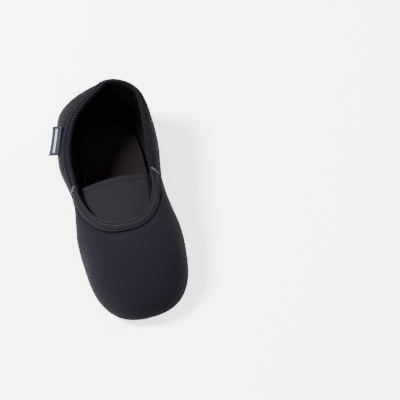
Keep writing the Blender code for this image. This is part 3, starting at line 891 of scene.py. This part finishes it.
@dataclass
class Binding:
    """A folded tape over a stretch of the rim, with two rows of stitches."""

    name: str
    first: float
    last: float
    thread_names: tuple[str, str]
    tape_node: str
    width: float = 7.2
    lift: float = 0.75
    leg: float = 0.65
    cloth: float = 1.6
    rows: tuple[float, float] = (1.9, 6.1)
    groove: float = 0.5
    pitch: float = 2.5
    # The share of its colour that the inner leg keeps: painted shade for the inside of the slipper.
    inner_light: float = 0.12
    seed: float = 1.0
    finish: Finish = Finish.BINDING

    def section(self) -> list[tuple[float, float, float]]:
        """The fold's outline.

        Returns:
            For each point, its depth below the rim, its lift and its share of the stitch puckering.
        """
        top, inner = self.lift, -(self.cloth + self.leg)
        outline: list[tuple[float, float, float]] = []
        for depth in np.linspace(self.width, 0.3, 40):
            dips = sum(math.exp(-(((depth - row) / 0.42) ** 2)) for row in self.rows)
            edge = 0.5 * math.exp(-((self.width - depth) / 0.4))
            crown = 0.3 * max(0.0, 1 - ((depth - 4.0) / 2.1) ** 2)
            outline.append((depth, top + crown - edge - self.groove * dips, dips))
        for turn in np.linspace(15, 165, 9):
            angle = math.radians(turn)
            middle, reach = (top + inner) / 2, (top - inner) / 2
            outline.append((0.1 - 1.0 * math.sin(angle), middle + reach * math.cos(angle), 0.0))
        outline += [(depth, inner, 0.0) for depth in np.linspace(0.3, self.width, 12)]
        outline += [(depth, inner + self.leg, 0.0) for depth in (self.width, 4.0, 1.2)]
        outline += [(depth, top - self.leg - 0.1, 0.0) for depth in (1.2, 4.0, self.width)]
        return outline

    def build(self, shop: Workshop) -> None:
        """Build the tape, the elastic inside it and its stitches.

        Args:
            shop: Makes the meshes.
        """
        count = int(abs(self.last - self.first) * 42)
        s = np.linspace(self.first, self.last, count)
        rim = FORM.points(s, np.ones_like(s))
        along = arc(rim)
        outline = self.section()
        columns, uvs, shades = [], [], []
        across = 0.0
        before = outline[0]
        pulse = 0.5 + 0.5 * np.cos(2 * math.pi * along / self.pitch)
        wave = creases(rim, 9.0, self.seed)
        for depth, lift, dips in outline:
            across += math.hypot(depth - before[0], lift - before[1])
            before = (depth, lift, dips)
            pull = -0.16 * min(1.0, dips) * (1 - pulse)
            plump = 0.16 * wave if lift > 0 else 0.0
            columns.append(FORM.below_rim(s, depth, lift + pull + plump))
            # Painted shade: the inner leg keeps only the inner_light share of its colour, and the stitch grooves and
            # the outer edge are darkened.
            light = self.inner_light if lift < self.lift - self.groove - 0.2 else 1.0
            light *= 1 - 0.85 * min(1.0, dips) - 0.6 * math.exp(-abs(self.width - depth) / 0.5)
            shades.append(np.full(count, light))
            uvs.append(np.stack([along, np.full(count, across)], -1))
        loops, flat = np.stack(columns, axis=1), np.stack(uvs, axis=1)
        fold = shop.sweep(self.name + "_fold", loops, flat, self.finish, np.stack(shades, axis=1))
        shop.bend(fold, self.name)
        for node, row in zip(self.thread_names, self.rows):
            path = FORM.below_rim(s, row, self.lift - self.groove + 0.12)
            v = FORM.height_below_rim(s, row)
            normals = FORM.normals(s, v)
            shop.bend(shop.stitches(node + "_stitches", path, normals, self.pitch, 0.25, Finish.THREAD), node)
        shop.bend(shop.copy_of(self.tape_node, self.tape_node + "_band", Finish.ELASTIC), self.tape_node)


# ---------------------------------------------------------------- the vamp


@dataclass
class Vamp:
    """The forepart: knit cloth, lining and the elastic panel in the throat."""

    thickness: float = 1.0
    tuck: float = 1.3
    under_binding: float = 5.6
    lining_gap: float = 0.75
    lining: float = 0.55
    throat_sink: float = 3.1
    throat_tuck: float = 4.2

    def grid(self, first: float, last: float, count: int, rows: int, low: float, depth: float) -> tuple[Rows, Rows]:
        """Stations and heights of a grid over the vamp.

        Args:
            first: Its first station.
            last: Its last station.
            count: How many stations.
            rows: How many rows.
            low: The height of its lowest row.
            depth: How far below the rim its top row lies.

        Returns:
            The stations and the heights, one for each point.
        """
        s = np.linspace(first, last, count)
        top = FORM.height_below_rim(s, depth)
        share = np.linspace(0, 1, rows)
        return np.repeat(s[:, None], rows, 1), low + (top[:, None] - low) * share[None, :]

    @staticmethod
    def flat_places(points: Rows) -> Rows:
        """Where points lie on the flat cloth, whose ribs run straight across the foot.

        Args:
            points: The points.

        Returns:
            Two flat coordinates for each, in millimetres.
        """
        x, y, z = points[..., 0], points[..., 1], points[..., 2]
        fore = -58.0
        over = np.clip((fore - y) / 22, 0, 1)
        over = over * over * (3 - 2 * over)
        drop = np.maximum(0.0, 31.0 - z) * over
        down = np.where(y > fore, y, fore - np.hypot(fore - y, drop))
        side = np.sign(x) * np.hypot(x, np.maximum(0.0, 30.0 - z) * (1 - over))
        return np.stack([side, down], -1)

    def build_outer(self, shop: Workshop) -> None:
        """The knit cloth, softly puffed over the toes and tucked in under the feather line.

        Args:
            shop: Makes the meshes.
        """
        end = SEAM + SEAM_LAP
        s, v = self.grid(-end, end, 300, 84, 0.0, self.under_binding)
        base = FORM.points(s, v)
        normals = FORM.normals(s, v)
        fade = np.clip(v / 0.08, 0, 1) * np.clip((1 - v) / 0.12, 0, 1)
        soft = 0.55 * creases(base, 26.0, 3.1) + 0.22 * creases(base, 11.0, 7.7)
        near_rim = np.exp(-(((FORM.height_below_rim(s[:, 0], 9.5)[:, None] - v) / 0.05) ** 2))
        gather = 0.1 * np.sin(s * 26.0) * near_rim
        ends = np.clip((end - np.abs(s)) / 0.3, 0, 1)
        puff = (soft + 0.35) * fade * (0.3 + 0.7 * ends) + gather * fade
        sunk = -0.5 * np.exp(-(((v - FORM.height_below_rim(s[:, 0], 7.7)[:, None]) / 0.024) ** 2))
        outer = base + (puff + sunk)[..., None] * normals
        inner = outer - self.thickness * normals
        tuck_rows_outer, tuck_rows_inner = [], []
        for share in (1.0, 0.5):
            xy = FORM.inset(s[:, 0], self.tuck * share)
            z = FORM.ground_at(xy[:, 1])
            tuck_rows_outer.append(np.column_stack([xy, z + 0.05]))
            tuck_rows_inner.append(np.column_stack([xy, z + 0.05 + 0.7 * self.thickness]))
        outer = np.concatenate([np.stack(tuck_rows_outer, 1), outer], axis=1)
        inner = np.concatenate([np.stack(tuck_rows_inner, 1), inner], axis=1)
        down = np.array([arc(row) for row in outer])
        # Painted shade: darker at the side seams and in a band just below the binding, where the cloth sinks; the
        # inner face is darkened for the inside of the slipper.
        shade = 1 - 0.7 * np.exp(-(((end - np.abs(s[:, :1])) / 0.035) ** 2)) - 0.95 * np.exp(
            -(((down[:, -1:] - down) / 2.75) ** 4)
        )
        piece = shop.shell("vamp_knit", outer, inner, self.flat_places(outer), Finish.KNIT, shade, 0.3)
        shop.bend(piece, "vamp_outer")

    def build_lining(self, shop: Workshop) -> None:
        """The lining behind the knit.

        Args:
            shop: Makes the meshes.
        """
        end = SEAM - SEAM_HALF_GAP - 0.3
        s, v = self.grid(-end, end, 120, 34, 0.16, 7.6)
        sink = self.thickness + self.lining_gap
        outer = FORM.lifted(s, v, np.full(s.shape, -sink))
        inner = FORM.lifted(s, v, np.full(s.shape, -sink - self.lining))
        shop.bend(shop.shell("vamp_lining_cloth", outer, inner, self.flat_places(outer), Finish.LINING), "vamp_lining")

    def build_throat(self, shop: Workshop) -> None:
        """The elastic panel across the throat, gently crowned, with a turned hem along its free edge.

        Args:
            shop: Makes the meshes.
        """
        front, back = 0.42, SEAM - 0.1
        s = np.linspace(front, back, 90)
        medial = FORM.below_rim(s, self.throat_tuck, -self.throat_sink)
        lateral = FORM.below_rim(-s, self.throat_tuck, -self.throat_sink)
        share = (s - front) / (back - front)
        t = np.linspace(0, 1, 90)[None, :]
        arch = 1 - (2 * t - 1) ** 2
        crown = (2.6 * np.sin(share * math.pi / 2))[:, None] * arch**2
        bow = (2.2 * share**3)[:, None] * arch
        top = medial[:, None, :] + t[..., None] * (lateral - medial)[:, None, :]
        top = top + np.stack([np.zeros_like(crown), bow, crown + 0.35 * creases(top, 16.0, 5.0) * arch], -1)
        back_from = arc(top[:, 45])
        hem = back_from[-1] - back_from
        fold = 0.22 * (1 / (1 + np.exp((hem - 4.2) * 4)))
        top[..., 2] += fold[:, None]
        lower = top - np.array([0.0, 0.0, 1.0])
        across = np.linalg.norm(lateral - medial, axis=1)
        u = (t - 0.5) * across[:, None]
        uvs = np.stack([np.broadcast_to(back_from[:, None], u.shape), u], -1)
        # Painted shade: dark along the sides and front, where the panel sinks under the binding, and a darker line at
        # the hem fold; the inner face is darkened too.
        from_side = np.minimum(t, 1 - t) * across[:, None]
        edge = np.clip((np.minimum(from_side, back_from[:, None] + 3.4) - 4.1) / 1.5, 0, 1)
        shade = edge * edge * (3 - 2 * edge) - 0.35 * np.exp(-(((hem[:, None] - 4.0) / 0.35) ** 2))
        panel = shop.shell("throat_elastic_panel", top, lower, uvs, Finish.ELASTIC, shade, 0.4)
        shop.bend(panel, "throat_elastic")

    def build(self, shop: Workshop) -> None:
        """Build the whole forepart.

        Args:
            shop: Makes the meshes.
        """
        self.build_outer(shop)
        self.build_lining(shop)
        self.build_throat(shop)


# ---------------------------------------------------------------- the quarters


@dataclass
class BarTacks:
    """Short, close rows of pale stitches over the side seams, where the two bindings meet."""

    lift: float = 1.16
    reach: float = 6.6
    spread: float = 0.045
    slant: float = 0.03
    rows: int = 3

    def build(self, shop: Workshop) -> None:
        """Build the rows on both sides.

        Args:
            shop: Makes the meshes.
        """
        for name, middle in (("medial", SEAM), ("lateral", 2 * HEEL - SEAM)):
            for row in range(self.rows):
                offset = self.spread * (row - (self.rows - 1) / 2)
                depths = np.linspace(0.4, self.reach - 1.4 * row, 30)
                slant = -self.slant if middle < HEEL else self.slant
                station = middle + offset + slant * depths
                wander = station + 0.012 * np.sin(depths * 2.2 + row)
                v = np.array([FORM.height_below_rim(s, d)[0] for s, d in zip(wander, depths)])
                path = FORM.lifted(wander, v, np.full(len(depths), self.lift))
                piece = shop.stitches(
                    f"bar_tack_{name}_{row + 1}", path, FORM.normals(wander, v), 1.5, 0.2, Finish.TACK
                )
                shop.bend(piece)


@dataclass
class Quarters:
    """The mesh quarters, with the seams and the heel grip inside them."""

    thickness: float = 1.6
    tuck: float = 1.3
    under_binding: float = 5.8

    def build_side(self, shop: Workshop, name: str, first: float, last: float, seed: float) -> None:
        """One quarter.

        Args:
            shop: Makes the mesh.
            name: The CAD node that it stands for.
            first: Its first station.
            last: Its last station.
            seed: Which pattern of creases it has.
        """
        s_line = np.linspace(first, last, 150)
        top = FORM.height_below_rim(s_line, self.under_binding)
        share = np.linspace(0, 1, 64)
        s = np.repeat(s_line[:, None], 64, 1)
        v = top[:, None] * share[None, :]
        base, normals = FORM.points(s, v), FORM.normals(s, v)
        fade = np.clip(v / 0.08, 0, 1) * np.clip((1 - v) / 0.12, 0, 1)
        ends = np.clip((s - first) / 0.3, 0, 1) * np.clip((last - s) / 0.3, 0, 1)
        soft = 0.5 * creases(base, 24.0, seed) + 0.2 * creases(base, 10.0, seed + 3) + 0.15
        soft = soft * fade * (0.3 + 0.7 * ends)
        outer = base + soft[..., None] * normals
        inner = outer - self.thickness * normals
        xy = FORM.inset(s_line, self.tuck)
        z = FORM.ground_at(xy[:, 1])
        outer = np.concatenate([np.column_stack([xy, z + 0.05])[:, None], outer], axis=1)
        inner = np.concatenate([np.column_stack([xy, z + 0.75])[:, None], inner], axis=1)
        middle = outer[:, 30]
        along = arc(middle)
        down = np.array([arc(row) for row in outer])
        uvs = np.stack([np.broadcast_to(along[:, None], down.shape), down], -1)
        # Painted shade: darker at the seams at each end and in a band just below the binding; the inner face is
        # darkened for the inside of the slipper.
        from_end = np.minimum(s_line - first, last - s_line)[:, None]
        shade = 1 - 0.7 * np.exp(-((from_end / 0.035) ** 2)) - 0.95 * np.exp(-(((down[:, -1:] - down) / 2.7) ** 4))
        piece = shop.shell(name + "_mesh", outer, inner, uvs, Finish.MESH, shade, 0.2)
        shop.bend(piece, name)

    def build(self, shop: Workshop) -> None:
        """Build both quarters and what is sewn inside them.

        Args:
            shop: Makes the meshes.
        """
        start, finish = SEAM - SEAM_LAP, HEEL + SEAM_LAP
        self.build_side(shop, "quarter_medial", start, finish, 11.0)
        self.build_side(shop, "quarter_lateral", 2 * HEEL - finish, 2 * HEEL - start, 17.0)
        for node in ("side_seam_tape_medial", "side_seam_tape_lateral", "back_seam_tape"):
            shop.bend(shop.copy_of(node, node + "_strip", Finish.TAPE), node)
        shop.bend(shop.copy_of("heel_grip", "heel_grip_pad", Finish.LINING), "heel_grip")


# ---------------------------------------------------------------- the sole


@dataclass
class Sole:
    """The outsole pads, the bottom cloth, the cushions and the sock lining."""

    inset: float = 2.5
    thickness: float = 1.4
    row_inset: float = 2.6
    forefoot_end: float = 4.85
    heel_start: float = 7.15
    bottom: float = 0.9
    gap: float = 0.35
    cushion: float = 2.0
    sock: float = 0.7

    def build_pad(self, shop: Workshop, label: str, first: float, last: float) -> None:
        """A suede pad with rounded edges, its stitched groove and the stitches in it.

        Args:
            shop: Makes the meshes.
            label: The half of the sole that it is under.
            first: Its first station.
            last: Its last station.
        """
        node = label + "_outsole"
        s = np.linspace(first, last, 150)
        corners = FORM.inset(s, self.inset)
        straight = np.linspace(corners[-1], corners[0], 40)[1:-1]
        outline = np.concatenate([corners, straight])
        centre = outline.mean(axis=0)
        groove = self.row_inset
        steps = (
            (0.45, self.thickness), (0.1, self.thickness - 0.15), (0.0, self.thickness - 0.5), (0.0, 0.45),
            (0.12, 0.12), (0.45, 0.0), (groove - 0.75, 0.0), (groove - 0.4, 0.35), (groove, 0.5),
            (groove + 0.4, 0.35), (groove + 0.75, 0.0), (groove + 3.0, 0.0),
        )
        rings, flats = [], []
        for inward, z in steps:
            ring = self.shrunk(outline, inward)
            rings.append(np.column_stack([ring, np.full(len(ring), z)]))
            flats.append(ring)
        points = np.concatenate(rings)
        number = np.arange(len(points)).reshape(len(steps), -1)
        faces = []
        size = number.shape[1]
        for a, b in zip(number, number[1:]):
            for c in range(size):
                n = (c + 1) % size
                faces.append(face(a[c], a[n], b[n], b[c]))
        faces += [face(*number[0]), face(*number[-1][::-1])]
        pad = shop.mesh(node + "_pad", points, faces, np.concatenate(flats), Finish.SUEDE, 40)
        shop.bend(pad, node)
        path = self.shrunk(outline, groove)
        path = np.concatenate([path, path[:1]])
        row = np.column_stack([path, np.full(len(path), 0.32)])
        down = np.tile((0.0, 0.0, -1.0), (len(row), 1))
        thread = shop.stitches(node + "_stitches", row, down, 3.0, 0.26, Finish.THREAD)
        shop.bend(thread, node + "_thread")
        LOG.info("%s is centred at %s", node, centre.round(1))

    @staticmethod
    def shrunk(outline: Rows, distance: float) -> Rows:
        """An outline moved in, with its sharp corners kept from crossing.

        Args:
            outline: A closed outline of points (x, y).
            distance: How far it is moved.

        Returns:
            The new outline.
        """
        ahead = np.roll(outline, -1, axis=0)
        behind = np.roll(outline, 1, axis=0)
        one = (outline - behind) / np.linalg.norm(outline - behind, axis=1, keepdims=True)
        two = (ahead - outline) / np.linalg.norm(ahead - outline, axis=1, keepdims=True)
        normals = np.stack([-(one + two)[:, 1], (one + two)[:, 0]], -1)
        normals /= np.linalg.norm(normals, axis=1, keepdims=True)
        cosine = np.clip(np.sum(np.stack([-one[:, 1], one[:, 0]], -1) * normals, axis=1), 0.5, 1)
        moved = outline + distance * normals / cosine[:, None]
        if distance > 1.0:
            moved = (np.roll(moved, 1, axis=0) + 2 * moved + np.roll(moved, -1, axis=0)) / 4
        return moved

    def footbed(
        self, first: float, last: float, inset: float, base: float, cup: float, count: int
    ) -> tuple[Rows, Rows]:
        """A grid across the sole.

        Args:
            first: Its first station, on the medial side.
            last: Its last station, on the medial side.
            inset: From the feather line to its edges.
            base: How far it lies above the underside.
            cup: How far its edges turn up.
            count: How many rows.

        Returns:
            The points of the grid, and their flat places.
        """
        s = np.linspace(first, last, count)
        medial, lateral = FORM.inset(s, inset), FORM.inset(2 * HEEL - s, inset)
        t = np.linspace(0, 1, 40)[None, :, None]
        xy = lateral[:, None, :] + t * (medial - lateral)[:, None, :]
        edge = np.abs(2 * t[..., 0] - 1) ** 6
        z = FORM.ground_at(xy[..., 1]) + base + cup * edge
        return np.concatenate([xy, z[..., None]], -1), xy

    def build(self, shop: Workshop) -> None:
        """Build the whole sole.

        Args:
            shop: Makes the meshes.
        """
        self.build_pad(shop, "forefoot", -self.forefoot_end, self.forefoot_end)
        self.build_pad(shop, "heel", self.heel_start, 2 * HEEL - self.heel_start)
        low, flat = self.footbed(0.2, HEEL - 0.2, 1.5, 0.0, 0.0, 120)
        top = low + np.array([0.0, 0.0, self.bottom])
        shop.bend(shop.shell("bottom_cloth_panel", low, top, flat, Finish.KNIT), "bottom_cloth")
        for node in ("forefoot_cushion", "heel_cushion"):
            pad = shop.bend(shop.copy_of(node, node + "_pad", Finish.FOAM), node)
        base = self.bottom + self.gap + self.cushion + self.gap
        low, flat = self.footbed(0.25, HEEL - 0.25, 1.2, base, 0.9, 160)
        low[..., 2] += 0.25 * creases(low, 18.0, 2.2)
        top = low + np.array([0.0, 0.0, self.sock])
        sock = shop.shell("sock_lining_sheet", low, top, flat, Finish.SOCK)
        shop.bend(sock, "sock_lining")


# ---------------------------------------------------------------- the label


@dataclass
class SideLabel:
    """A ribbon folded double and sewn in under the collar."""

    length: float = 23.5
    reach: float = 8.5
    ply: float = 0.35
    gap: float = 0.3
    fold: float = 1.0
    curl: float = 0.7

    def build(self, shop: Workshop) -> None:
        """Build the ribbon along its CAD hinge.

        Args:
            shop: Makes the meshes and hangs them on the frame.
        """
        joint = next(j for j in frame["joints"] if j["name"] == "label_flap")
        origin = np.array(joint["pos_m"]) / MM
        along = np.array(joint["axis"])
        along /= np.linalg.norm(along)
        low, high = (np.array(corner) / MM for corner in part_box("label_tab"))
        out = (low + high) / 2 - origin
        out -= along * out.dot(along)
        out /= np.linalg.norm(out)
        up = np.cross(along, out)
        half = self.ply + self.gap / 2
        section = []
        for reach in np.linspace(0.0, self.reach - 0.6, 14):
            section.append((reach, half))
        for turn in np.linspace(70, -70, 8):
            angle = math.radians(turn)
            section.append((self.reach - 0.6 + 0.6 * math.cos(angle), half * math.sin(angle)))
        for reach in np.linspace(self.reach - 0.6, 0.0, 14):
            section.append((reach, -half))
        between, inner_reach = self.gap / 2, self.reach - self.fold
        section += [(0.0, -between), (inner_reach, -between), (inner_reach, between), (0.0, between)]
        loops, uvs = [], []
        for x in np.linspace(-self.length / 2, self.length / 2, 60):
            lift = self.curl * (2 * x / self.length) ** 2 - 0.25 * self.curl
            loops.append([
                origin + along * x + out * reach + up * (height + lift * (reach / self.reach) ** 1.5)
                for reach, height in section
            ])
            uvs.append([(x + self.length / 2, reach) for reach, _ in section])
        piece = shop.sweep("label_ribbon", np.array(loops), np.array(uvs), Finish.RIBBON)
        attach(piece, LABEL)
        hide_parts("label_tab")
        LOG.info("%s: %d faces", piece.name, len(piece.data.polygons))


# ---------------------------------------------------------------- the studio


@dataclass
class Studio:
    """A pale floor, soft light from the upper left, and the camera."""

    azimuth: float = 0.1
    elevation: float = 1.031
    roll: float = -0.353
    distance: float = 0.9
    lens: float = 108.46
    target: tuple[float, float, float] = (2.1, -2.9, 20.0)
    shift: tuple[float, float] = (0.197, 0.0115)
    paper_glow: float = 2.0
    floor_side: float = 6.0
    floor_drop: float = 0.0001
    sky_strength: float = 0.4
    lamps: tuple[tuple[str, tuple[float, float, float], float, float], ...] = (
        ("key", (-0.85, 0.45, 1.15), 0.42, 118.0),
        ("front", (0.1, -0.7, 1.1), 0.9, 11.0),
        ("side", (1.2, 0.3, 0.55), 0.7, 22.0),
    )

    def build_camera(self) -> None:
        """Place the camera."""
        a, e, r = self.azimuth, self.elevation, self.roll
        back = Vector((math.sin(a) * math.cos(e), -math.cos(a) * math.cos(e), math.sin(e)))
        right = Vector((math.cos(a), math.sin(a), 0.0))
        up = back.cross(right)
        side = math.cos(r) * right + math.sin(r) * up
        top = -math.sin(r) * right + math.cos(r) * up
        data = bpy.data.cameras.new("camera")
        data.sensor_width = 36.0
        data.lens = self.lens
        data.shift_x, data.shift_y = self.shift
        data.clip_start = 0.01
        camera = bpy.data.objects.new("camera", data)
        camera.matrix_world = Matrix.Translation(Vector(self.target) * MM + back * self.distance) @ Matrix(
            (side, top, back)
        ).transposed().to_4x4()
        bpy.context.scene.collection.objects.link(camera)
        bpy.context.scene.camera = camera

    def build_light(self, name: str, place: tuple[float, float, float], size: float, power: float) -> None:
        """A soft square light that faces the slipper.

        Args:
            name: Its name.
            place: Where it stands, in metres.
            size: Its side, in metres.
            power: Its power, in watts.
        """
        data = bpy.data.lights.new(name, "AREA")
        data.size = size
        data.energy = power
        lamp = bpy.data.objects.new(name, data)
        lamp.location = place
        lamp.rotation_euler = (Vector(place) - Vector((0, 0, 0.02))).to_track_quat("Z", "Y").to_euler()
        bpy.context.scene.collection.objects.link(lamp)

    def build(self) -> None:
        """Build the floor, the lights and the sky."""
        floor_mesh = bpy.data.meshes.new("floor")
        shape = bmesh.new()
        bmesh.ops.create_grid(shape, x_segments=1, y_segments=1, size=self.floor_side)
        shape.to_mesh(floor_mesh)
        shape.free()
        floor = bpy.data.objects.new("floor", floor_mesh)
        floor.location.z = -self.floor_drop
        bpy.context.scene.collection.objects.link(floor)
        paper = bpy.data.materials.new("paper_floor")
        paper.use_nodes = True
        graph = Graph(paper.node_tree)
        seen = graph.math("MULTIPLY", graph.add("LightPath").outputs["Is Camera Ray"], self.paper_glow)
        shader = graph.add(
            "BsdfPrincipled", None,
            {"Base Color": (0.9, 0.9, 0.9, 1.0), "Roughness": 0.9, "Specular IOR Level": 0.0,
             "Emission Color": (1.0, 1.0, 1.0, 1.0), "Emission Strength": seen},
        )
        graph.add("OutputMaterial", None, {"Surface": shader.outputs[0]})
        floor_mesh.materials.append(paper)
        world = bpy.data.worlds.new("studio_sky")
        world.use_nodes = True
        sky = Graph(world.node_tree)
        glow = sky.add("Background", None, {"Color": (1.0, 1.0, 1.0, 1.0), "Strength": self.sky_strength})
        sky.add("OutputWorld", None, {"Surface": glow.outputs[0]})
        bpy.context.scene.world = world
        for lamp in self.lamps:
            self.build_light(*lamp)
        self.build_camera()


def main() -> None:
    """Build the slipper, piece by piece, then the studio."""
    logging.basicConfig(level=logging.INFO, format="%(name)s %(message)s")
    for build in (build_ribs, build_weave, build_holes, build_fuzz):
        build()
    shop = Workshop()
    Vamp().build(shop)
    Quarters().build(shop)
    end = SEAM - SEAM_HALF_GAP
    Binding(
        "vamp_binding", -end, end, ("vamp_binding_upper_thread", "vamp_binding_lower_thread"), "vamp_binding_tape"
    ).build(shop)
    Binding(
        "collar_binding", SEAM + SEAM_HALF_GAP, 2 * HEEL - SEAM - SEAM_HALF_GAP,
        ("collar_upper_thread", "collar_lower_thread"), "collar_elastic", seed=4.0, finish=Finish.COLLAR,
    ).build(shop)
    BarTacks().build(shop)
    Sole().build(shop)
    SideLabel().build(shop)
    Studio().build()


if __name__ == "__main__":
    main()
